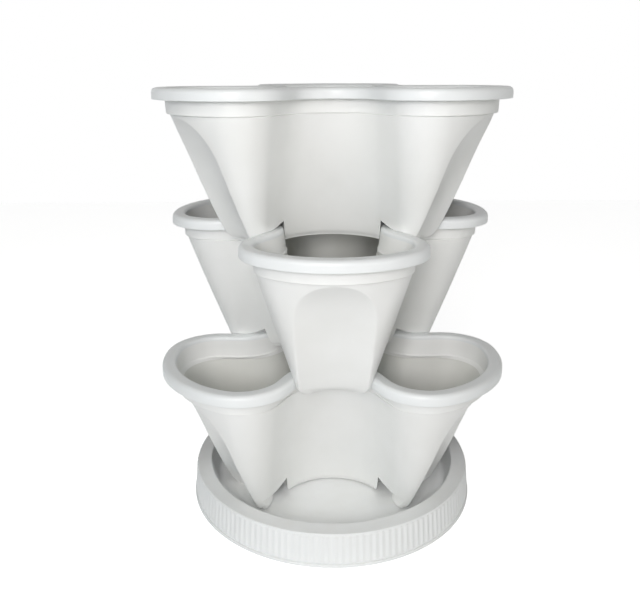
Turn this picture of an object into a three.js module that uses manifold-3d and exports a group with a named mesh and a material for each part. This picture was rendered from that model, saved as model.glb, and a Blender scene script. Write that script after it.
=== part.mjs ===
import * as THREE from "three";
import { mergeVertices } from "three/addons/utils/BufferGeometryUtils.js";
import Module from "manifold-3d";

const wasm = await Module();
wasm.setup();

// Vertical planter tower: three alike three-lobed pots, each turned against the one below it,
// on a round drip tray. Millimetres, +Z up, origin under the middle of the tray.
// A pot is described by its plan at a depth below its rim, and by offsets from that plan.

// Pot, seen from above at the rim and at the feet. The plan's other sizes are shares of its reach.
const lobeCount = 3;
const potDepth = 141;
const rimReach = 162.5;
const rimShares = { halfWidth: 0.437, corner: 0.138, end: 0.529, waist: 0.402, waistRadius: 0.302 };
const footShares = { halfWidth: 0.319, corner: 0.1, end: 0.876, waist: 0.256, waistRadius: 0.548 };

// Pot wall, base and drain holes
const potWall = 2.8;
const footFillet = 6;
const innerFillet = 1.2;
const footDrop = 3;
const drainHole = 7;
const drainCircle = 14;
const drainCount = 6;

// Rolled lip and the band under it, as depths below the rim and offsets from the lip's plan
const lipPlanDepth = 4;
const lipHeight = 10;
const lipOverhang = 9.5;
const lipRound = 4.6;
const lipSkirt = 2.6;
const lipCrest = 2.4;
const lipRoll = 8;
const bandTopInset = 3.2;
const bandFootInset = 4.4;
const bandDepth = 18;
const shoulderRise = 4;
const shoulderLedge = 1.2;

// Arched hollow pressed into the end of each lobe; it gets deeper from its crown to the feet
const archDrop = 4;
const archShares = { height: 0.266, rim: 0.476, foot: 0.942 };
const hollowDepth = 12;
const hollowRun = 20;

// Stack: how far a pot's feet reach below the rim that it sits on, and out past its lip. The room
// for that rim rises from the seat to a peak over the rim's inner edge.
const nestDepth = 15;
const footStand = 23.4;
const seatGap = 0.3;
const roomRise = 5.5;
const roomPeakInset = 5.2;
const potNames = ["bottom_pot", "middle_pot", "top_pot"];

// Drip tray, from its floor out to the flange
const trayClearance = 4.8;
const trayCove = 14;
const trayBowlLean = 5.3;
const trayEdgeWidth = 12.9;
const trayEdgeDrop = 1.6;
const traySkirtLean = 3.4;
const trayFlangeWidth = 2.9;
const trayFlangeHeight = 2.8;
const trayFootWidth = 4;
const trayHeight = 31;
const trayWall = 2.6;
const trayFloorHeight = 9.4;
const trayDomeRise = 2.2;
const trayDomeShare = 0.58;
const ribCount = 112;
const ribDepth = 1.1;
const ribTopDrop = 3.4;

// Cuts and facets
const cutOverrun = 12;
const dishSteps = 2;
const endSteps = 4;
const waistSteps = 2;
const archSteps = 4;
const trayFacets = 36;
const drainFacets = 8;

const plastic = { color: 0xe9eae8, roughness: 0.42, metalness: 0 };
const halfLobe = Math.PI / lobeCount;
const archSquareness = 2.3;
const quarterShare = 1 - Math.SQRT1_2;

const footReach = rimShares.waist * rimReach + lipOverhang + footStand;
const tierPitch = potDepth - nestDepth;
const hubDepth = potDepth - footDrop;
const shoulderDepth = bandDepth + shoulderRise;
const archTopDepth = shoulderDepth + archDrop;
const archHeight = archShares.height * potDepth;
const archHalfWidth = archShares.rim * rimShares.halfWidth * rimReach;
const archFootHalfWidth = archShares.foot * footShares.halfWidth * footReach;
const lipRollInset = bandTopInset + potWall;
const bandInnerInset = bandFootInset + potWall;

const trayFloorRadius = footReach + trayClearance;
const trayBowlRadius = trayFloorRadius + trayCove;
const trayMouthRadius = trayBowlRadius + trayBowlLean;
const traySkirtTopRadius = trayMouthRadius + trayEdgeWidth;
const traySkirtFootRadius = traySkirtTopRadius + traySkirtLean;
const trayFlangeRadius = traySkirtFootRadius + trayFlangeWidth;

const mix = (from, to, share) => from + (to - from) * share;

function planAt(depth, offset) {
  const down = depth / potDepth;
  const plan = { reach: mix(rimReach, footReach, down) + offset };
  for (const [part, share] of Object.entries(rimShares)) {
    plan[part] = mix(rimReach * share, footReach * footShares[part], down) + offset;
  }
  plan.waistRadius -= 2 * offset;
  return plan;
}

// Depth of a row of the arch: the first is its crown and the last is where its sides begin
const archRow = (step) => archTopDepth + archHeight * (1 - Math.cos((Math.PI / 2) * (step / archSteps)));

// Half width and depth of the arched hollow. Above the arch it is flush with the wall.
function dishAt(depth, offset) {
  const reached = (row) => 1 - Math.min(1, (row - archTopDepth) / archHeight);
  const spread = (1 - reached(Math.max(depth, archRow(1))) ** archSquareness) ** (1 / archSquareness);
  const archFoot = archTopDepth + archHeight;
  const fall = Math.max(0, (depth - archFoot) / (potDepth - archFoot));
  return {
    half: mix(archHalfWidth, archFootHalfWidth + offset, fall) * spread,
    deep: hollowDepth * (1 - Math.exp(Math.min(0, archTopDepth - depth) / hollowRun)),
  };
}

// Half a lobe, from the middle of its end to the middle of the waist: the hollow, then the wall,
// which is an end arc, a corner arc, a straight side and a hollow waist arc, each tangent to the next
function halfOutline(plan, dish) {
  const endCentre = plan.reach - plan.end;
  const cornerY = plan.halfWidth - plan.corner;
  const cornerX = endCentre + Math.sqrt((plan.end - plan.corner) ** 2 - cornerY ** 2);
  const meet = Math.atan2(cornerY, cornerX - endCentre);
  const waistCentre = plan.waist + plan.waistRadius;
  const waistX = waistCentre * Math.cos(halfLobe);
  const waistY = waistCentre * Math.sin(halfLobe);
  const span = Math.hypot(waistX - cornerX, waistY - cornerY);
  const towards = Math.atan2(waistY - cornerY, waistX - cornerX);
  const leave = towards - Math.acos((plan.corner + plan.waistRadius) / span);

  const wallAt = (angle) => angle < meet
    ? new THREE.Vector2(endCentre + plan.end * Math.cos(angle), plan.end * Math.sin(angle))
    : new THREE.Vector2(cornerX + plan.corner * Math.cos(angle), cornerY + plan.corner * Math.sin(angle));
  const inEnd = dish.half < plan.end * Math.sin(meet);
  const brow = Math.asin(inEnd ? dish.half / plan.end : (dish.half - cornerY) / plan.corner);
  const edge = wallAt(brow);
  const points = [];
  for (let i = 0; i < dishSteps; i++) {
    const side = i / dishSteps;
    points.push(new THREE.Vector2(mix(plan.reach - dish.deep, edge.x, side ** 2), dish.half * side));
  }
  // Steps shrink on the rounder end arc, so that every chord lies as close to its arc
  const endWeight = Math.sqrt(plan.end) * Math.max(0, meet - brow);
  const cornerWeight = Math.sqrt(plan.corner) * (leave - Math.max(meet, brow));
  for (let i = 0; i <= endSteps; i++) {
    const weight = (endWeight + cornerWeight) * (i / endSteps);
    points.push(wallAt(weight < endWeight
      ? brow + weight / Math.sqrt(plan.end)
      : leave - (endWeight + cornerWeight - weight) / Math.sqrt(plan.corner)));
  }
  for (let i = 0; i <= waistSteps; i++) {
    const angle = mix(leave + Math.PI, Math.PI + halfLobe, i / waistSteps);
    points.push(new THREE.Vector2(
      waistX + plan.waistRadius * Math.cos(angle),
      waistY + plan.waistRadius * Math.sin(angle),
    ));
  }
  return points;
}

function outline(plan, dish) {
  const half = halfOutline(plan, dish);
  const mirrored = half.slice(1).reverse().map((p) => new THREE.Vector2(p.x, -p.y));
  const lobe = [...mirrored, ...half.slice(0, -1)];
  const points = [];
  for (let i = 0; i < lobeCount; i++) {
    const turn = 2 * halfLobe * i;
    for (const p of lobe) points.push(p.clone().rotateAround(new THREE.Vector2(), turn));
  }
  return points;
}

function ring(depth, offset, planDepth = depth) {
  const points = outline(planAt(planDepth, offset), dishAt(planDepth, offset));
  return points.map((p) => [p.x, p.y, -depth]);
}

const lipRing = (depth, offset) => ring(depth, offset, lipPlanDepth);

// Skins a list of rings of equal length; the ends are capped, or joined to each other
function loft(rings, joined = false) {
  const count = rings[0].length;
  const index = [];
  const skinned = joined ? rings.length : rings.length - 1;
  for (let r = 0; r < skinned; r++) {
    const low = r * count;
    const high = ((r + 1) % rings.length) * count;
    for (let i = 0; i < count; i++) {
      const next = (i + 1) % count;
      index.push(low + i, low + next, high + next, low + i, high + next, high + i);
    }
  }
  if (!joined) {
    for (const [r, up] of [[0, false], [rings.length - 1, true]]) {
      const flat = rings[r].map(([x, y]) => new THREE.Vector2(x, y));
      for (const [a, b, c] of THREE.ShapeUtils.triangulateShape(flat, [])) {
        const first = r * count;
        index.push(first + a, first + (up ? b : c), first + (up ? c : b));
      }
    }
  }
  const geometry = new THREE.BufferGeometry();
  geometry.setAttribute("position", new THREE.Float32BufferAttribute(rings.flat(2), 3));
  geometry.setIndex(index);
  return geometry;
}

function solid(geometry) {
  const bare = geometry.clone();
  bare.deleteAttribute("normal");
  bare.deleteAttribute("uv");
  const merged = mergeVertices(bare);
  const mesh = new wasm.Mesh({
    numProp: 3,
    vertProperties: new Float32Array(merged.attributes.position.array),
    triVerts: new Uint32Array(merged.index.array),
  });
  return new wasm.Manifold(mesh);
}

function surface(manifold) {
  const mesh = manifold.getMesh();
  const geometry = new THREE.BufferGeometry();
  geometry.setAttribute("position", new THREE.BufferAttribute(mesh.vertProperties, 3));
  geometry.setIndex(new THREE.BufferAttribute(mesh.triVerts, 1));
  geometry.computeVertexNormals();
  return geometry;
}

// Rows of the wall below the shoulder, from the top of the foot's rounded edge up
function wallRows(offset, footTop, archRows) {
  return [
    ring(footTop, offset),
    ring((footTop + archRow(archSteps)) / 2, offset),
    ...archRows.map((step) => ring(archRow(step), offset)),
    ring(shoulderDepth, offset),
  ];
}

// The moulded wall: up the outside, under and over the hollow lip, and down the inside
function potShell() {
  const innerFloor = potDepth - potWall;
  return loft([
    ring(potDepth, -footFillet),
    ring(potDepth - footFillet * quarterShare, -footFillet * quarterShare),
    ...wallRows(0, potDepth - footFillet, Array.from({ length: archSteps + 1 }, (_, i) => archSteps - i)),
    ring(shoulderDepth, shoulderLedge),
    lipRing(bandDepth, -bandFootInset),
    lipRing(lipSkirt, -bandTopInset),
    lipRing(lipSkirt, lipOverhang - lipRound),
    lipRing(lipHeight, lipOverhang - lipSkirt),
    lipRing(lipHeight, lipOverhang),
    lipRing(lipRound, lipOverhang),
    lipRing(lipRound * quarterShare, lipOverhang - lipRound * quarterShare),
    lipRing(0, lipCrest),
    lipRing(lipRoll / 4, -lipRollInset / 2),
    lipRing(lipRoll, -lipRollInset),
    lipRing(bandDepth + potWall / 2, -bandInnerInset),
    ...wallRows(-potWall, innerFloor - innerFillet, [archSteps, archSteps / 2]).reverse(),
    ring(innerFloor, -potWall - innerFillet),
  ]);
}

// What this pot leaves free underneath, in its own frame: the room for the rim of the pot below,
// grown by a margin, and everything under a hub at the given depth
function underside(margin, underHub) {
  const edge = margin * Math.SQRT1_2;
  const room = loft([
    lipRing(nestDepth + cutOverrun, lipOverhang + margin),
    lipRing(lipRound, lipOverhang + margin),
    lipRing(lipRound * quarterShare - edge, lipOverhang - lipRound * quarterShare + edge),
    lipRing(-margin, lipCrest),
    lipRing(-roomRise - 2 * margin, -roomPeakInset - margin),
    lipRing(lipRoll, -lipRollInset - margin),
    lipRing(underHub - tierPitch, -bandInnerInset - margin),
  ]);
  room.rotateZ(halfLobe);
  room.translate(0, 0, -tierPitch);
  return solid(room);
}

function drainHoles() {
  const hole = new THREE.CylinderGeometry(drainHole / 2, drainHole / 2, 2 * cutOverrun, drainFacets);
  hole.rotateX(Math.PI / 2);
  hole.translate(drainCircle, 0, -hubDepth);
  const one = solid(hole);
  let all = one;
  for (let i = 1; i < drainCount; i++) all = all.add(one.rotate([0, 0, (360 / drainCount) * i]));
  return all;
}

// The skin over the room for the rim below ends inside the wall
function potSolid() {
  const middle = -potWall / 2;
  const envelope = solid(loft(wallRows(middle, potDepth + middle, [archSteps, archSteps / 2])));
  const skin = underside(seatGap + potWall, hubDepth - potWall).intersect(envelope);
  return solid(potShell())
    .add(skin)
    .subtract(underside(seatGap, hubDepth).add(drainHoles()));
}

// Tray: a moulded bowl inside a skirt, turned from one closed profile
function trayBody() {
  const edge = trayHeight - trayEdgeDrop;
  const domeRadius = trayDomeShare * trayFloorRadius;
  const domeAt = (share) => [domeRadius * share, trayFloorHeight + trayDomeRise * (1 - share ** 2)];
  const top = [0, 1 / 2, 1].map(domeAt);
  const profile = [
    ...top.map(([r, z]) => [r, z - trayWall]),
    [trayFloorRadius, trayFloorHeight - trayWall],
    [trayBowlRadius + trayWall, trayFloorHeight + trayWall],
    [trayMouthRadius + trayWall, edge - trayWall],
    [traySkirtTopRadius - trayWall, edge - trayWall],
    [traySkirtFootRadius - trayWall, trayFlangeHeight],
    [trayFlangeRadius - trayFootWidth, 0],
    [trayFlangeRadius, 0],
    [trayFlangeRadius, trayFlangeHeight],
    [traySkirtFootRadius, trayFlangeHeight],
    [traySkirtTopRadius, edge - trayEdgeDrop / 2],
    [traySkirtTopRadius - trayEdgeDrop / 2, edge],
    [trayMouthRadius + trayEdgeDrop, trayHeight],
    [trayMouthRadius, trayHeight - trayEdgeDrop / 2],
    [trayBowlRadius, trayFloorHeight + 2 * trayWall],
    [trayFloorRadius + trayWall, trayFloorHeight + trayWall / 2],
    [trayFloorRadius - trayWall, trayFloorHeight],
    ...top.reverse(),
  ];
  const lathe = new THREE.LatheGeometry(profile.map(([r, z]) => new THREE.Vector2(r, z)), trayFacets);
  return solid(lathe.rotateX(Math.PI / 2));
}

// Fine upright flutes round the skirt, two points to a flute
function trayRibs() {
  const low = trayFlangeHeight - ribDepth / 2;
  const high = trayHeight - ribTopDrop;
  const lean = traySkirtLean / (trayHeight - trayEdgeDrop - trayFlangeHeight);
  const wave = (z, valley, crest) => {
    const points = [];
    for (let i = 0; i < 2 * ribCount; i++) {
      const angle = (Math.PI * i) / ribCount;
      const radius = traySkirtFootRadius - lean * (z - trayFlangeHeight) + (i % 2 ? crest : valley);
      points.push([radius * Math.cos(angle), radius * Math.sin(angle), z]);
    }
    return points;
  };
  const valley = ribDepth / 4;
  const crest = ribDepth + valley;
  const within = -trayWall / 2;
  return solid(loft([
    wave(low, within, within),
    wave(low, valley, crest),
    wave(high, valley, crest),
    wave(high, within, within),
  ], true));
}

function named(name, manifold) {
  const mesh = new THREE.Mesh(surface(manifold), new THREE.MeshStandardMaterial(plastic));
  mesh.name = name;
  return mesh;
}

const tower = new THREE.Group();
tower.add(named("drip_tray", trayBody().add(trayRibs())));

const pot = potSolid();
for (const [tier, name] of potNames.entries()) {
  const mesh = named(name, pot);
  mesh.position.z = trayFloorHeight + seatGap + potDepth + tier * tierPitch;
  mesh.rotation.z = Math.PI / 2 + tier * halfLobe;
  tower.add(mesh);
}

export default tower;
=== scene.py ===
import math

import bmesh
import bpy
from mathutils import Matrix, Vector


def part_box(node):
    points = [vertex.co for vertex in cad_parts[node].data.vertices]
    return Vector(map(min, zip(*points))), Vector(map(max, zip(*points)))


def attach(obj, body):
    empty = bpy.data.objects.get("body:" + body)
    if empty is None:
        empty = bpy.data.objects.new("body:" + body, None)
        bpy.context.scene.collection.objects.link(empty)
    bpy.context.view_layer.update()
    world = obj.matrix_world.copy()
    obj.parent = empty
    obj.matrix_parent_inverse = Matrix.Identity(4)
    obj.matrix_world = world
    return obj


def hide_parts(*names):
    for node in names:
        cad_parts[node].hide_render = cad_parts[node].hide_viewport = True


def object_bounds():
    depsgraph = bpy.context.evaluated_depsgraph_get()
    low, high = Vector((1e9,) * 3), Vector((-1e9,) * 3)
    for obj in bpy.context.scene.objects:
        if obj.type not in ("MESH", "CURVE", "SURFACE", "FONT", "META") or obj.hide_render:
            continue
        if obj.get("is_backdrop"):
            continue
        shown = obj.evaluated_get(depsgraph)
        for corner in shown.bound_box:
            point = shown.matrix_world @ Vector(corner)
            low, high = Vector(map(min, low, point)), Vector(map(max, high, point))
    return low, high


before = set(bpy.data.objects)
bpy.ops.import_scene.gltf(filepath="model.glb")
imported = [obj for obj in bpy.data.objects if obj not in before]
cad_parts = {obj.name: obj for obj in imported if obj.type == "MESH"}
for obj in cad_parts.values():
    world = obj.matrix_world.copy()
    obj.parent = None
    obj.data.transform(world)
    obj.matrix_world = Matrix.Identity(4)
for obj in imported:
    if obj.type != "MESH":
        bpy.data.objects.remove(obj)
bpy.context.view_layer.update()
scene = bpy.context.scene
scene.view_settings.view_transform = "Standard"
print("frame loaded")

mm = 0.001

# Camera: where the photograph was taken from, found by fitting the three pots and the tray to it
cameraAt = {
    "place": (-16.47, -674.15, 413.4),  # mm, in the tower's frame
    "yaw": 0.0049,  # radians, to the right of straight ahead
    "pitch": 0.163,  # radians, downwards
    "roll": -0.004,
    "lens": 39.508,
    "sensor": 36.0,
    "shift": (0.00416, -0.18165),
    "clipEnd": 20.0,  # m
}


def placeCamera():
    yaw, pitch, roll = cameraAt["yaw"], cameraAt["pitch"], cameraAt["roll"]
    ahead = Vector((math.sin(yaw) * math.cos(pitch), math.cos(yaw) * math.cos(pitch), -math.sin(pitch)))
    level = Vector((math.cos(yaw), -math.sin(yaw), 0))
    above = level.cross(ahead)
    right = level * math.cos(roll) + above * math.sin(roll)
    up = above * math.cos(roll) - level * math.sin(roll)
    data = bpy.data.cameras.new("photoCamera")
    data.lens = cameraAt["lens"]
    data.sensor_width = cameraAt["sensor"]
    data.shift_x, data.shift_y = cameraAt["shift"]
    data.clip_end = cameraAt["clipEnd"]
    camera = bpy.data.objects.new("photoCamera", data)
    turn = Matrix((right, up, -ahead)).transposed()
    camera.matrix_world = Matrix.Translation(Vector(cameraAt["place"]) * mm) @ turn.to_4x4()
    scene.collection.objects.link(camera)
    scene.camera = camera


placeCamera()
print("camera placed")

# Studio: soft lamps, a white sweep for the camera and a floor that keeps the tower's shadow
studio = {
    "lamps": {  # place and side in m, power in W, colour
        "key": ((-1.1, -1.5, 1.7), 1.1, 4.4, (1.0, 0.99, 0.82)),
        "high": ((-0.1, -1.3, 1.1), 0.4, 3.1, (1.0, 0.97, 0.97)),
        "front": ((-0.15, -1.1, 0.58), 0.3, 6.0, (1.0, 0.98, 0.98)),
        "left": ((-1.5, -1.3, 0.4), 1.2, 5.4, (0.75, 0.9, 1.0)),
        "right": ((1.5, -1.3, 0.4), 1.2, 7.4, (0.98, 1.0, 0.95)),
    },
    "aim": (0.0, 0.0, 0.2),
    "skyStrength": 0.02,
    "floorSize": 3.2,
    "floorColour": (0.8, 0.8, 0.8, 1),
    "floorRoughness": 0.8,
    "floorGlow": 0.86,  # what the camera sees of the floor beside the light that falls on it
}


def areaLamp(name, place, size, power, colour):
    data = bpy.data.lights.new(name, "AREA")
    data.shape = "SQUARE"
    data.size = size
    data.energy = power
    data.color = colour
    lamp = bpy.data.objects.new(name, data)
    lamp.location = place
    lamp.rotation_euler = (Vector(studio["aim"]) - Vector(place)).to_track_quat("-Z", "Y").to_euler()
    scene.collection.objects.link(lamp)


for name, (place, size, power, colour) in studio["lamps"].items():
    areaLamp(name + "Lamp", place, size, power, colour)
print("lamps placed")


def newGroup(name, inputs, outputs):
    group = bpy.data.node_groups.new(name, "ShaderNodeTree")
    for label, kind, value in inputs:
        group.interface.new_socket(label, in_out="INPUT", socket_type=kind).default_value = value
    for label, kind in outputs:
        group.interface.new_socket(label, in_out="OUTPUT", socket_type=kind)
    return group, group.nodes.new("NodeGroupInput"), group.nodes.new("NodeGroupOutput")


def feed(tree, socket, value):
    if isinstance(value, bpy.types.NodeSocket):
        tree.links.new(value, socket)
    else:
        socket.default_value = value


def mathNode(tree, operation, first, second, clamp=False):
    node = tree.nodes.new("ShaderNodeMath")
    node.operation = operation
    node.use_clamp = clamp
    feed(tree, node.inputs[0], first)
    feed(tree, node.inputs[1], second)
    return node.outputs[0]


def noiseNode(tree, vector, scale, detail, roughness):
    node = tree.nodes.new("ShaderNodeTexNoise")
    for label, value in (("Vector", vector), ("Scale", scale), ("Detail", detail), ("Roughness", roughness)):
        feed(tree, node.inputs[label], value)
    return node.outputs["Fac"]


def rangeNode(tree, value, source, target):
    node = tree.nodes.new("ShaderNodeMapRange")
    labels = ("Value", "From Min", "From Max", "To Min", "To Max")
    for label, given in zip(labels, (value, *source, *target)):
        feed(tree, node.inputs[label], given)
    return node.outputs["Result"]


def mixColour(tree, share, first, second):
    node = tree.nodes.new("ShaderNodeMix")
    node.data_type = "RGBA"
    for index, value in ((0, share), (6, first), (7, second)):  # the colour sockets of a Mix node
        feed(tree, node.inputs[index], value)
    return node.outputs[2]


def seenDirectly(tree):
    path = tree.nodes.new("ShaderNodeLightPath").outputs
    sharp = mathNode(tree, "MAXIMUM", path["Is Camera Ray"], path["Is Glossy Ray"])
    return mathNode(tree, "MAXIMUM", sharp, path["Is Transmission Ray"])


# Effects that the plastics share: noise detail and roughness, and the ranges cut out of the noise
effects = {
    "whole": (0.0, 1.0),
    "grainNoise": (2.0, 0.5),
    "flowNoise": (3.0, 0.45),
    "mottle": (0.3, 0.7),
    "dustNoise": (5.0, 0.6),
    "dustPatches": (0.35, 0.7),
    "dustFacing": (0.35, 0.95),  # how far a face looks up before dust lies on it
}


def mouldSkinGroup():
    group, given, out = newGroup("mouldSkin", [
        ("Grain Scale", "NodeSocketFloat", 1400.0),
        ("Flow Scale", "NodeSocketFloat", 22.0),
        ("Flow Share", "NodeSocketFloat", 0.5),
    ], [("Height", "NodeSocketFloat"), ("Mottle", "NodeSocketFloat")])
    place = group.nodes.new("ShaderNodeTexCoord").outputs["Object"]
    grain = noiseNode(group, place, given.outputs["Grain Scale"], *effects["grainNoise"])
    flow = noiseNode(group, place, given.outputs["Flow Scale"], *effects["flowNoise"])
    wave = mathNode(group, "MULTIPLY", flow, given.outputs["Flow Share"])
    group.links.new(mathNode(group, "ADD", grain, wave), out.inputs["Height"])
    group.links.new(flow, out.inputs["Mottle"])
    return group


def speckGroup():
    group, given, out = newGroup("specks", [
        ("Spacing Scale", "NodeSocketFloat", 60.0),
        ("Size", "NodeSocketFloat", 0.05),
        ("Share", "NodeSocketFloat", 0.1),
    ], [("Mask", "NodeSocketFloat")])
    place = group.nodes.new("ShaderNodeTexCoord").outputs["Object"]
    cells = group.nodes.new("ShaderNodeTexVoronoi")
    group.links.new(place, cells.inputs["Vector"])
    group.links.new(given.outputs["Spacing Scale"], cells.inputs["Scale"])
    near = mathNode(group, "LESS_THAN", cells.outputs["Distance"], given.outputs["Size"])
    parts = group.nodes.new("ShaderNodeSeparateColor")
    group.links.new(cells.outputs["Color"], parts.inputs[0])
    chosen = mathNode(group, "LESS_THAN", parts.outputs[0], given.outputs["Share"])
    group.links.new(mathNode(group, "MULTIPLY", near, chosen), out.inputs["Mask"])
    return group


def settledDustGroup():
    group, given, out = newGroup("settledDust", [
        ("Scale", "NodeSocketFloat", 40.0),
        ("Amount", "NodeSocketFloat", 0.3),
    ], [("Mask", "NodeSocketFloat")])
    place = group.nodes.new("ShaderNodeTexCoord").outputs["Object"]
    normal = group.nodes.new("ShaderNodeNewGeometry").outputs["Normal"]
    parts = group.nodes.new("ShaderNodeSeparateXYZ")
    group.links.new(normal, parts.inputs[0])
    upward = rangeNode(group, parts.outputs["Z"], effects["dustFacing"], effects["whole"])
    cloud = noiseNode(group, place, given.outputs["Scale"], *effects["dustNoise"])
    patches = rangeNode(group, cloud, effects["dustPatches"], effects["whole"])
    both = mathNode(group, "MULTIPLY", upward, patches)
    group.links.new(mathNode(group, "MULTIPLY", both, given.outputs["Amount"]), out.inputs["Mask"])
    return group


shared = {"mouldSkin": mouldSkinGroup(), "specks": speckGroup(), "settledDust": settledDustGroup()}


def useGroup(tree, name, **values):
    node = tree.nodes.new("ShaderNodeGroup")
    node.node_tree = shared[name]
    for label, value in values.items():
        node.inputs[label.replace("_", " ")].default_value = value
    return node


def mouldedPlastic(name, look):
    material = bpy.data.materials.new(name)
    material.use_nodes = True
    tree = material.node_tree
    shader = tree.nodes["Principled BSDF"]
    surface = useGroup(tree, "mouldSkin", Grain_Scale=look["grainScale"], Flow_Scale=look["flowScale"],
                       Flow_Share=look["flowShare"])
    specks = useGroup(tree, "specks", Spacing_Scale=look["speckScale"], Size=look["speckSize"],
                      Share=look["speckShare"])
    dust = useGroup(tree, "settledDust", Scale=look["dustScale"], Amount=look["dust"])
    mottle = rangeNode(tree, surface.outputs["Mottle"], effects["mottle"], effects["whole"])
    colour = mixColour(tree, mottle, look["colour"], look["shade"])
    colour = mixColour(tree, dust.outputs["Mask"], colour, look["dustColour"])
    colour = mixColour(tree, specks.outputs["Mask"], colour, look["speckColour"])
    tree.links.new(colour, shader.inputs["Base Color"])
    rough = rangeNode(tree, mottle, effects["whole"], look["roughness"])
    dusty = mathNode(tree, "MULTIPLY", dust.outputs["Mask"], look["dustRoughness"])
    tree.links.new(mathNode(tree, "ADD", rough, dusty, True), shader.inputs["Roughness"])
    bump = tree.nodes.new("ShaderNodeBump")
    bump.inputs["Strength"].default_value = look["bump"]
    bump.inputs["Distance"].default_value = look["bumpDepth"] * mm
    tree.links.new(surface.outputs["Height"], bump.inputs["Height"])
    tree.links.new(bump.outputs["Normal"], shader.inputs["Normal"])
    shader.inputs["IOR"].default_value = look["ior"]
    shader.inputs["Coat Weight"].default_value = look["coat"]
    shader.inputs["Coat Roughness"].default_value = look["coatRoughness"]
    return material


# White polypropylene, and copies of it for the faces of a pot: the inside copy is darkened and greened with
# painted shade, the lip copy tinted bluer with painted cool light
potLook = {
    "colour": (0.87, 0.875, 0.865, 1),
    "shade": (0.835, 0.84, 0.825, 1),
    "roughness": (0.36, 0.44),
    "grainScale": 1300.0,
    "flowScale": 20.0,
    "flowShare": 0.6,
    "bump": 0.35,
    "bumpDepth": 0.12,
    "ior": 1.49,
    "coat": 0.0,
    "coatRoughness": 0.35,
    "dust": 0.12,
    "dustScale": 55.0,
    "dustRoughness": 0.3,
    "dustColour": (0.78, 0.77, 0.74, 1),
    "speckScale": 34.0,
    "speckSize": 0.02,
    "speckShare": 0.06,
    "speckColour": (0.32, 0.31, 0.29, 1),
}
potFinishes = {
    "wall": mouldedPlastic("potWall", potLook),
    # Lip copy: a bluer tint that is painted cool light on the lip; its lower roughness and thin coat are
    # real
    "lip": mouldedPlastic("potLipPaintedLight", {
        **potLook,
        "colour": (0.825, 0.845, 0.85, 1),
        "shade": (0.8, 0.82, 0.825, 1),
        "roughness": (0.32, 0.4),
        "bump": 0.2,
        "coat": 0.05,
    }),
    # Inside copy: a darker, greener colour that is painted shade for the shade inside the pots; its extra
    # dust is real
    "inside": mouldedPlastic("potInsidePaintedShade", {
        **potLook,
        "colour": (0.74, 0.745, 0.715, 1),
        "shade": (0.69, 0.695, 0.66, 1),
        "roughness": (0.5, 0.6),
        "dust": 0.2,
    }),
    "underside": mouldedPlastic("potUnderside", {**potLook, "roughness": (0.48, 0.58), "bump": 0.5}),
}
finishNumber = {name: number for number, name in enumerate(potFinishes)}
print("pot finishes mixed")

# One pot, in mm: depths run down from the rim, offsets run outwards from the plan
pot = {
    "lobes": 3,
    "depth": 141.0,
    "rim": {"reach": 163.9, "halfWidth": 72.4, "corner": 40.5, "end": 90.8,
            "waist": 64.9, "waistRadius": 43.6},
    "foot": {"reach": 103.7, "halfWidth": 31.1, "corner": 11.4, "end": 90.6,
             "waist": 22.5, "waistRadius": 54.0},
    "wall": 2.8,
    "footFillet": 7.5,
    "innerFillet": 1.2,
    "innerFilletRow": 0.3,  # share of the inner fillet at its middle row
    "hubDepth": 139.3,
    "pitch": 126.0,
    "seatGap": 0.3,
    "lipPlan": 4.0,  # depth of the plan that the lip and the band follow
    "lipHeight": 10.0,
    "lipOverhang": 7.55,
    "lipRound": 4.0,
    "lipSkirt": 2.6,
    "lipEdge": 0.6,
    "lipEdgeInside": 0.5,
    "lipEdgeLean": 0.1,
    "lipCrest": 2.4,
    "lipFlat": -1.0,
    "lipFall": [(0, -2.6), (0.2, -4.6)],  # where the crest turns down into the pot
    "lipFallDepth": 2.4,
    "lipFallOut": 0.7,
    "lipRoll": 8.0,
    "lipRollOut": 0.5,
    "roomFoot": 12.0,
    "roomRise": 5.5,  # the room over the rim below peaks beside its inner edge
    "roomPeak": -5.2,
    "roomPeakSpread": 1.96,  # shares of the margin that keep the wall there even
    "roomCrestSpread": (-0.81, 0.59),
    "bandTop": -3.2,
    "bandFoot": -4.4,
    "bandDepth": 19.6,
    "bandEdge": [(0.7, 0.6), (1.2, 0.2)],  # up from the shoulder, in from the band's foot
    "shoulder": 23.3,
    "groove": 0.5,  # under the band
    "grooveRise": 0.3,
    "innerStep": 19.6,
    "innerLedge": 1.1,
    "ledgeRise": 0.9,
    "ledgeDrop": 0.3,
    "ledgeFoot": 0.8,
    "archTop": 25.2,
    "archHeight": 37.8,
    "archHalf": 33.8,
    "archFootHalf": 29.52,
    "archSquareness": 2.3,
    "hollow": 13.2,
    "hollowRun": 20.0,
    "brow": 1.5,  # rounding of the hollow's border
    "browLimit": 3,  # the border takes at most one part in this many of the hollow's half
    "drainHole": 7.0,
    "drainCircle": 14.0,
    "drainCut": 24.0,
    "drains": 6,
    "drainSides": 28,
    "creaseAngle": 32,
    "dishSteps": 9,
    "browSteps": 4,
    "endSteps": 20,
    "waistSteps": 9,
    "archSteps": 16,
    "innerArchSteps": 8,
    "lowSteps": 9,
    "filletSteps": 6,
    "roomSteps": 6,
    "lipSteps": 8,
    "edgeSteps": 3,
    "fallSteps": 5,
}
halfLobe = math.pi / pot["lobes"]


def mix(start, end, share):
    return start + (end - start) * share


def planAt(depth, offset):
    share = depth / pot["depth"]
    plan = {part: mix(size, pot["foot"][part], share) + offset for part, size in pot["rim"].items()}
    plan["waistRadius"] -= 2 * offset
    return plan


def archRow(step):
    return pot["archTop"] + pot["archHeight"] * (1 - math.cos(math.pi / 2 * step / pot["archSteps"]))


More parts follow.
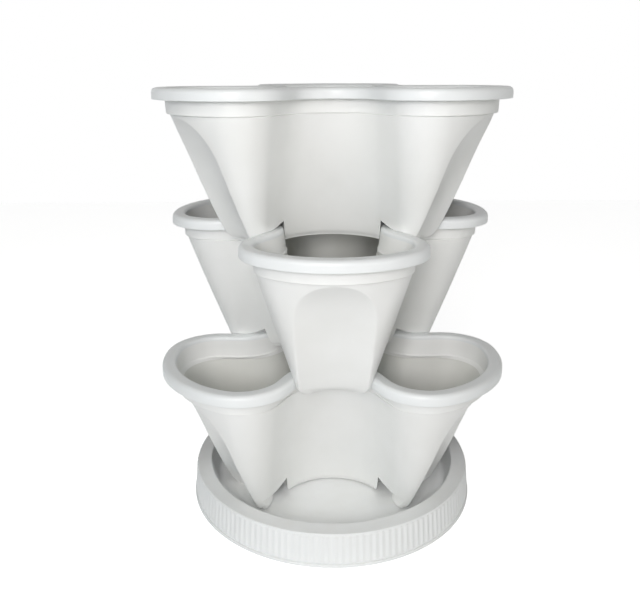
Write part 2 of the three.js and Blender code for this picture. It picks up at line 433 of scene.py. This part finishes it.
# Half width and depth of the arched hollow in a lobe's end
def hollowAt(depth, offset):
    row = max(depth, archRow(1))
    left = 1 - min(1, (row - pot["archTop"]) / pot["archHeight"])
    spread = (1 - left ** pot["archSquareness"]) ** (1 / pot["archSquareness"])
    side = pot["archTop"] + pot["archHeight"]
    fall = max(0, (depth - side) / (pot["depth"] - side))
    half = mix(pot["archHalf"], pot["archFootHalf"] + offset, fall) * spread
    return half, pot["hollow"] * (1 - math.exp(min(0, pot["archTop"] - depth) / pot["hollowRun"]))


def onArc(x, y, radius, angle):
    return Vector((x + radius * math.cos(angle), y + radius * math.sin(angle)))


# Half a lobe's outline, from the middle of its end past the hollow and the corner to the middle of the waist
def halfLobeLine(depth, offset):
    plan = planAt(depth, offset)
    half, deep = hollowAt(depth, offset)
    endX = plan["reach"] - plan["end"]
    cornerY = plan["halfWidth"] - plan["corner"]
    cornerX = endX + math.sqrt((plan["end"] - plan["corner"]) ** 2 - cornerY ** 2)
    meet = math.atan2(cornerY, cornerX - endX)
    middle = plan["waist"] + plan["waistRadius"]
    waistX, waistY = middle * math.cos(halfLobe), middle * math.sin(halfLobe)
    span = math.hypot(waistX - cornerX, waistY - cornerY)
    towards = math.atan2(waistY - cornerY, waistX - cornerX)
    leave = towards - math.acos((plan["corner"] + plan["waistRadius"]) / span)

    def wallAt(angle):
        if angle < meet:
            return onArc(endX, 0, plan["end"], angle)
        return onArc(cornerX, cornerY, plan["corner"], angle)

    if half < plan["end"] * math.sin(meet):
        brow, radius = math.asin(half / plan["end"]), plan["end"]
    else:
        brow, radius = math.asin((half - cornerY) / plan["corner"]), plan["corner"]
    edge = wallAt(brow)

    def hollowPoint(side):
        return Vector((mix(plan["reach"] - deep, edge.x, side ** 2), half * side))

    ease = min(pot["brow"], half / pot["browLimit"])
    inner = 1 - ease / half
    points = [hollowPoint(inner * i / pot["dishSteps"]) for i in range(pot["dishSteps"])]
    first, last = hollowPoint(inner), wallAt(brow + ease / radius)
    for i in range(pot["browSteps"] + 1):
        t = i / pot["browSteps"]
        points.append(first * (1 - t) ** 2 + edge * 2 * t * (1 - t) + last * t ** 2)
    brow += ease / radius
    endWeight = math.sqrt(plan["end"]) * max(0, meet - brow)
    cornerWeight = math.sqrt(plan["corner"]) * (leave - max(meet, brow))
    for i in range(1, pot["endSteps"] + 1):
        weight = (endWeight + cornerWeight) * i / pot["endSteps"]
        if weight < endWeight:
            points.append(wallAt(brow + weight / math.sqrt(plan["end"])))
        else:
            points.append(wallAt(leave - (endWeight + cornerWeight - weight) / math.sqrt(plan["corner"])))
    for i in range(pot["waistSteps"] + 1):
        angle = mix(leave + math.pi, math.pi + halfLobe, i / pot["waistSteps"])
        points.append(onArc(waistX, waistY, plan["waistRadius"], angle))
    return points


def ring(depth, offset, planDepth=None):
    half = halfLobeLine(depth if planDepth is None else planDepth, offset)
    lobe = [Vector((p.x, -p.y)) for p in reversed(half[1:])] + half[:-1]
    points = []
    for k in range(pot["lobes"]):
        turn = Matrix.Rotation(2 * halfLobe * k, 2)
        points += [(*(turn @ p), -depth) for p in lobe]
    return points


# A smooth line that the given points pull on, from the first to the last
def curve(points, steps):
    found = []
    for i in range(steps + 1):
        t = i / steps
        layer = [Vector(p) for p in points]
        while len(layer) > 1:
            layer = [a.lerp(b, t) for a, b in zip(layer, layer[1:])]
        found.append(tuple(layer[0]))
    return found


def quarter(steps):
    return [math.pi / 2 * i / steps for i in range(steps + 1)]


def lipRings(line):
    return [ring(depth, offset, pot["lipPlan"]) for depth, offset in line]


def meshObject(name, bm):
    mesh = bpy.data.meshes.new(name)
    bm.to_mesh(mesh)
    bm.free()
    obj = bpy.data.objects.new(name, mesh)
    scene.collection.objects.link(obj)
    return obj


def skin(name, rings, finishes):
    bm = bmesh.new()
    rows = [[bm.verts.new(Vector(p) * mm) for p in row] for row in rings]
    count = len(rows[0])
    for finish, low, high in zip(finishes, rows, rows[1:]):
        for i in range(count):
            face = bm.faces.new((low[i], low[(i + 1) % count], high[(i + 1) % count], high[i]))
            face.material_index = finish
            face.smooth = True
    bm.faces.new(list(reversed(rows[0]))).material_index = finishes[0]
    bm.faces.new(rows[-1]).material_index = finishes[-1]
    return meshObject(name, bm)


def cut(obj, operation, tool):
    change = obj.modifiers.new(tool.name, "BOOLEAN")
    change.operation = operation
    change.solver = "MANIFOLD"
    change.object = tool


def settle(obj):
    bpy.context.view_layer.update()
    seen = obj.evaluated_get(bpy.context.evaluated_depsgraph_get())
    mesh = bpy.data.meshes.new_from_object(seen)
    obj.modifiers.clear()
    obj.data = mesh


def crease(obj, degrees):
    bm = bmesh.new()
    bm.from_mesh(obj.data)
    for edge in bm.edges:
        edge.smooth = len(edge.link_faces) != 2 or edge.calc_face_angle(0) < math.radians(degrees)
    for face in bm.faces:
        face.smooth = True
    bm.to_mesh(obj.data)
    bm.free()


def wallRings(offset, footTop, archSteps):
    side, lowSteps = archRow(pot["archSteps"]), pot["lowSteps"]
    low = [ring(mix(footTop, side, i / lowSteps), offset) for i in range(lowSteps)]
    arch = [ring(archRow(pot["archSteps"] * (1 - i / archSteps)), offset) for i in range(archSteps + 1)]
    return low + arch + [ring(pot["shoulder"], offset)]


# One closed shell: up the outside from the foot, over the lip and down the inside
def potShell():
    rings, finishes = [], []

    def add(rows, finish):
        rings.extend(rows)
        finishes.extend([finishNumber[finish]] * len(rows))

    depth, wall, fillet = pot["depth"], pot["wall"], pot["footFillet"]
    add([ring(depth - fillet * (1 - math.cos(a)), fillet * (math.sin(a) - 1))
         for a in quarter(pot["filletSteps"])[:-1]], "wall")
    add(wallRings(0, depth - fillet, pot["archSteps"]), "wall")
    add([ring(pot["shoulder"] - pot["grooveRise"], -pot["groove"])], "wall")
    bandEdge = [(pot["shoulder"] - rise, pot["bandFoot"] - back) for rise, back in pot["bandEdge"]]
    add(lipRings(bandEdge + [(pot["bandDepth"], pot["bandFoot"])]), "wall")

    over, foot, corner, edge = pot["lipOverhang"], pot["lipHeight"], pot["lipRound"], pot["lipEdge"]
    under, footInside = over - pot["lipSkirt"], foot - pot["lipEdgeInside"]
    add(lipRings([(pot["lipSkirt"], pot["bandTop"]), (pot["lipSkirt"], over - corner),
                  (footInside, under)]), "underside")
    add(lipRings(curve([(footInside, under + pot["lipEdgeLean"]), (foot, under + 2 * pot["lipEdgeLean"]),
                        (foot, over - edge)], pot["edgeSteps"])[1:]), "lip")
    rounded = curve([(foot, over - edge), (foot, over), (foot - edge, over)], pot["edgeSteps"])
    add(lipRings(rounded[1:]), "lip")
    add(lipRings([(corner * (1 - math.sin(a)), over - corner * (1 - math.cos(a)))
                  for a in quarter(pot["lipSteps"])]), "lip")
    add(lipRings([(0, pot["lipCrest"]), (0, pot["lipFlat"])]), "lip")

    lipInside, bandInside = pot["bandTop"] - wall, pot["bandFoot"] - wall
    fall = pot["lipFall"] + [(pot["lipFallDepth"], lipInside + pot["lipFallOut"])]
    add(lipRings(curve(fall, pot["fallSteps"])), "lip")
    add(lipRings([(pot["lipRoll"] / 2, lipInside + pot["lipRollOut"]), (pot["lipRoll"], lipInside)]), "wall")
    step, ledge = pot["innerStep"], bandInside - pot["innerLedge"]
    add(lipRings(curve([(step - pot["ledgeRise"], bandInside), (step, bandInside),
                        (step + pot["ledgeDrop"], ledge), (step + pot["ledgeFoot"], ledge)],
                       pot["edgeSteps"])), "wall")

    floor, fillet = depth - wall, pot["innerFillet"]
    # The inner wall and floor take the inside finish, whose darker colour is painted shade
    add(wallRings(-wall, floor - fillet, pot["innerArchSteps"])[::-1], "inside")
    row = fillet * pot["innerFilletRow"]
    add([ring(floor - row, -wall - row), ring(floor, -wall - fillet)], "inside")
    return skin("potShell", rings, finishes)


# Room for the rim of the pot below and for everything under the hub
def roomBelow(name, margin, underHub):
    corner, over = pot["lipRound"], pot["lipOverhang"]
    rows = [(pot["depth"] - pot["pitch"] + pot["roomFoot"], over + margin), (corner, over + margin)]
    rows += [(corner - (corner + margin) * math.sin(a), over - corner + (corner + margin) * math.cos(a))
             for a in quarter(pot["roomSteps"])[1:]]
    crestRise, crestOut = pot["roomCrestSpread"]
    rows.append((crestRise * margin, pot["lipCrest"] + crestOut * margin))
    rows.append((-pot["roomRise"] - pot["roomPeakSpread"] * margin, pot["roomPeak"] - margin))
    rows.append((pot["lipRoll"], pot["bandTop"] - pot["wall"] - margin))
    rows.append((underHub - pot["pitch"], pot["bandFoot"] - pot["wall"] - margin))
    obj = skin(name, lipRings(rows), [finishNumber["underside"]] * len(rows))
    obj.data.transform(Matrix.Translation((0, 0, -pot["pitch"] * mm)) @ Matrix.Rotation(halfLobe, 4, "Z"))
    return obj


def drainHoles():
    bm = bmesh.new()
    radius = pot["drainHole"] / 2 * mm
    for k in range(pot["drains"]):
        angle = 2 * math.pi * k / pot["drains"]
        place = Vector((math.cos(angle), math.sin(angle), 0)) * pot["drainCircle"]
        place += Vector((0, 0, -pot["hubDepth"]))
        bmesh.ops.create_cone(bm, cap_ends=True, segments=pot["drainSides"], radius1=radius, radius2=radius,
                              depth=pot["drainCut"] * mm, matrix=Matrix.Translation(place * mm))
    return meshObject("drainHoles", bm)


def buildPot():
    shell = potShell()
    half = pot["wall"] / 2
    rows = wallRings(-half, pot["depth"] - half, pot["innerArchSteps"])
    within = skin("withinWall", rows, [finishNumber["underside"]] * len(rows))
    over = roomBelow("overRim", pot["seatGap"] + pot["wall"], pot["hubDepth"] - pot["wall"])
    under = roomBelow("underRim", pot["seatGap"], pot["hubDepth"])
    drains = drainHoles()
    cut(over, "INTERSECT", within)
    settle(over)
    cut(shell, "UNION", over)
    cut(shell, "DIFFERENCE", under)
    cut(shell, "DIFFERENCE", drains)
    settle(shell)
    for helper in (within, over, under, drains):
        bpy.data.objects.remove(helper)
    crease(shell, pot["creaseAngle"])
    return shell


onePot = buildPot()
print("pot moulded:", len(onePot.data.polygons), "faces")

tiers = [("bottom_pot", "bottom_tier"), ("middle_pot", "middle_tier"), ("top_pot", "top_tier")]
for tier, (node, body) in enumerate(tiers):
    _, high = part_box(node)
    piece = bpy.data.objects.new(body + "Pot", onePot.data.copy())
    turn = Matrix.Rotation(math.pi / 2 + tier * halfLobe, 4, "Z")
    piece.data.transform(Matrix.Translation((0, 0, high.z)) @ turn)
    scene.collection.objects.link(piece)
    slots = piece.data.materials
    for number, finish in enumerate(potFinishes.values()):
        if number < len(slots):
            slots[number] = finish
        else:
            slots.append(finish)
    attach(piece, body)
    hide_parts(node)
bpy.data.objects.remove(onePot)
print("three pots stacked")

# Drip tray, in mm: a turned profile with upright flutes round its skirt
tray = {
    "height": 31.0,
    "floor": 9.4,
    "floorRadius": 102.4,
    "cove": 14.0,
    "bowlLean": 5.3,
    "edgeWidth": 14.1,
    "edgeDrop": 1.6,
    "skirtLean": 1.7,
    "skirtFillet": 0.45,
    "flangeWidth": 1.5,
    "flangeHeight": 2.8,
    "footWidth": 4.0,
    "wall": 2.6,
    "domeRise": 1.2,
    "domeShare": 0.58,
    "domeSteps": 8,
    "flutes": 146,
    "fluteDepth": 0.6,
    "fluteBase": 0.25,  # share that the skirt stands out between two crests
    "fluteSharpness": 1.5,
    "fluteDrop": 3.0,
    "fluteStart": 0.25,
    "fluteFoot": [(0.2, 0.55), (0.6, 0.9)],  # rise above its start, share of its depth
    "fluteEnd": 1.2,
    "fluteSteps": 6,
    "endSteps": 5,
    "pointsToFlute": 8,
    "creaseAngle": 40,
    "bends": {  # steps, and points outwards and up from the corner that they round
        "cove": (7, [(0, 6.76), (-1.2, 0.3), (-8.5, 1.3)]),
        "edge": (5, [(0, -0.8), (0, 0.4), (-1.4, 0.15)]),
        "flange": (4, [(0, -0.9), (0, 0), (-0.9, 0)]),
        "floor": (4, [(2.6, 0.5), (0, 0), (-2.6, 0)]),
        "foot": (3, [(-0.6, 0), (0, 0), (0, 0.6)]),
        "mouth": (6, [(2.6, -0.12), (0, 0), (0, -1.6)]),
        "under": (5, [(0, 0), (12.0, 0), (16.6, 5.2)]),
    },
}


# Rows of radius, height and share of the flute, from under the floor round to its top
def trayRows():
    high, low, wall, ledge = tray["height"], tray["floor"], tray["wall"], tray["flangeHeight"]
    bowl = tray["floorRadius"] + tray["cove"]
    mouth = bowl + tray["bowlLean"]
    skirtTop = mouth + tray["edgeWidth"]
    skirtFoot = skirtTop + tray["skirtLean"]
    flange = skirtFoot + tray["flangeWidth"]
    edge = high - tray["edgeDrop"]
    dome = tray["domeShare"] * tray["floorRadius"]
    shares = [i / tray["domeSteps"] for i in range(1, tray["domeSteps"] + 1)]
    domeRows = [(dome * share, low + tray["domeRise"] * (1 - share ** 2), 0) for share in shares]

    def bend(name, r, z):
        steps, points = tray["bends"][name]
        return [(*point, 0) for point in curve([(r + out, z + up) for out, up in points], steps)]

    def skirtAt(z):
        return mix(skirtFoot, skirtTop, (z - ledge) / (edge - ledge))

    rows = [(r, z - wall, 0) for r, z, _ in domeRows]
    rows += bend("under", tray["floorRadius"], low - wall)
    rows += [(mouth + wall, edge - wall, 0), (skirtTop - wall, edge - wall, 0)]
    rows += [(skirtFoot - wall, ledge, 0), (flange - tray["footWidth"], 0, 0)]
    rows += bend("foot", flange, 0) + bend("flange", flange, ledge)
    start = ledge + tray["fluteStart"]
    rows += [(skirtFoot + tray["skirtFillet"], ledge, 0), (skirtFoot, start, 0)]
    rows += [(skirtAt(start + rise), start + rise, share) for rise, share in tray["fluteFoot"]]
    end, steps = tray["fluteEnd"], tray["fluteSteps"]
    top = high - tray["fluteDrop"] - end
    rows += [(skirtAt(z), z, 1) for z in [mix(start + end, top, i / steps) for i in range(steps + 1)]]
    for turn in quarter(tray["endSteps"])[1:]:
        z = top + end * math.sin(turn)
        rows.append((skirtAt(z), z, math.cos(turn)))
    rows += bend("edge", skirtTop, edge) + bend("mouth", mouth, high)
    rows += bend("cove", bowl, low) + bend("floor", tray["floorRadius"], low)
    return rows + domeRows[::-1]


def buildTray():
    count = tray["flutes"] * tray["pointsToFlute"]
    angles = [2 * math.pi * i / count for i in range(count)]
    rings = []
    for r, z, flute in trayRows():
        row = []
        for angle in angles:
            crest = (0.5 - 0.5 * math.cos(tray["flutes"] * angle)) ** tray["fluteSharpness"]
            reach = r + tray["fluteDepth"] * flute * (tray["fluteBase"] + crest)
            row.append((reach * math.cos(angle), reach * math.sin(angle), z))
        rings.append(row)
    piece = skin("dripTray", rings, [0] * len(rings))
    crease(piece, tray["creaseAngle"])
    return piece


trayPiece = buildTray()
trayPiece.data.materials.append(mouldedPlastic("trayPlastic", {
    **potLook,
    "colour": (0.845, 0.86, 0.862, 1),
    "shade": (0.82, 0.835, 0.835, 1),
    "roughness": (0.42, 0.5),
    "dust": 0.25,
}))
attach(trayPiece, "tray")
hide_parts("drip_tray")
print("tray turned:", len(trayPiece.data.polygons), "faces")


def studioFloor():
    bm = bmesh.new()
    bmesh.ops.create_grid(bm, x_segments=1, y_segments=1, size=studio["floorSize"] / 2)
    floor = meshObject("floor", bm)
    material = bpy.data.materials.new("studioPaper")
    material.use_nodes = True
    tree = material.node_tree
    shader = tree.nodes["Principled BSDF"]
    shader.inputs["Base Color"].default_value = studio["floorColour"]
    shader.inputs["Roughness"].default_value = studio["floorRoughness"]
    glow = tree.nodes.new("ShaderNodeEmission")
    glow.inputs["Color"].default_value = (1, 1, 1, 1)
    strength = mathNode(tree, "MULTIPLY", seenDirectly(tree), studio["floorGlow"])
    tree.links.new(strength, glow.inputs["Strength"])
    both = tree.nodes.new("ShaderNodeAddShader")
    tree.links.new(shader.outputs[0], both.inputs[0])
    tree.links.new(glow.outputs[0], both.inputs[1])
    tree.links.new(both.outputs[0], tree.nodes["Material Output"].inputs["Surface"])
    floor.data.materials.append(material)
    floor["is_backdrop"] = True


def studioSky():
    world = bpy.data.worlds.new("studioSky")
    scene.world = world
    world.use_nodes = True
    tree = world.node_tree
    back = tree.nodes["Background"]
    back.inputs["Color"].default_value = (1, 1, 1, 1)
    strength = rangeNode(tree, seenDirectly(tree), effects["whole"], (studio["skyStrength"], 1.0))
    tree.links.new(strength, back.inputs["Strength"])


studioFloor()
studioSky()
print("studio set")

low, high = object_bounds()
